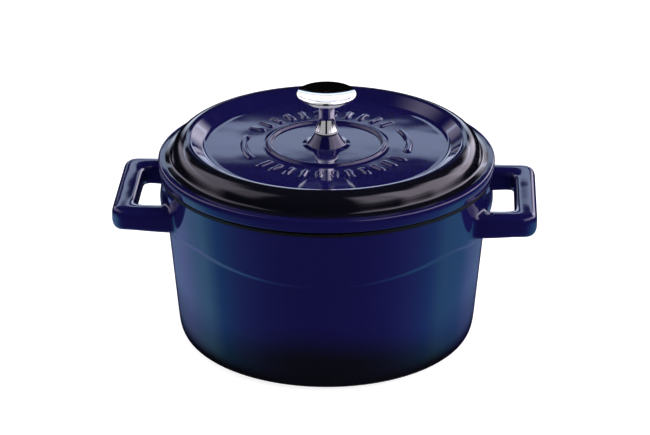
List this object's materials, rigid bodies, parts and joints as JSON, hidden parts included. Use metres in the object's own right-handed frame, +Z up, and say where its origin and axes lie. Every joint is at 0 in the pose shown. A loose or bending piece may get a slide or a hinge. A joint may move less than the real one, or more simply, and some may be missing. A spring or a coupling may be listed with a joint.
{
  "type": "dutch oven",
  "caption": "Round enamelled cast iron dutch oven with two loop handles and a lift-off domed lid with a polished steel knob.",
  "frame": {"origin": "centre of the pot's base, on the surface it stands on", "axes": "+X runs through one loop handle, +Y to the back, +Z up along the pot's axis through the knob"},
  "size_m": [0.2654, 0.212, 0.1632],
  "materials": {
    "pot_enamel": "gloss dark blue enamel outside, matt black enamel inside",
    "lid_enamel": "gloss dark blue enamel on top, matt black enamel underneath",
    "knob_polish": "mirror polished",
    "gasket_rubber": "matt",
    "fixing_steel": "satin"
  },
  "bodies": {
    "pot": {"pot": "pot_enamel"},
    "lid": {"lid": "lid_enamel", "knob_head": "knob_polish", "knob_stem": "knob_polish", "knob_gasket": "gasket_rubber", "knob_screw": "fixing_steel", "screw_washer": "fixing_steel", "lock_washer": "fixing_steel"}
  },
  "joints": [
    {"name": "lid_lift", "type": "slide", "parent": "pot", "child": "lid", "axis": [0, 0, 1], "range_m": [0, 0.12]}
  ]
}
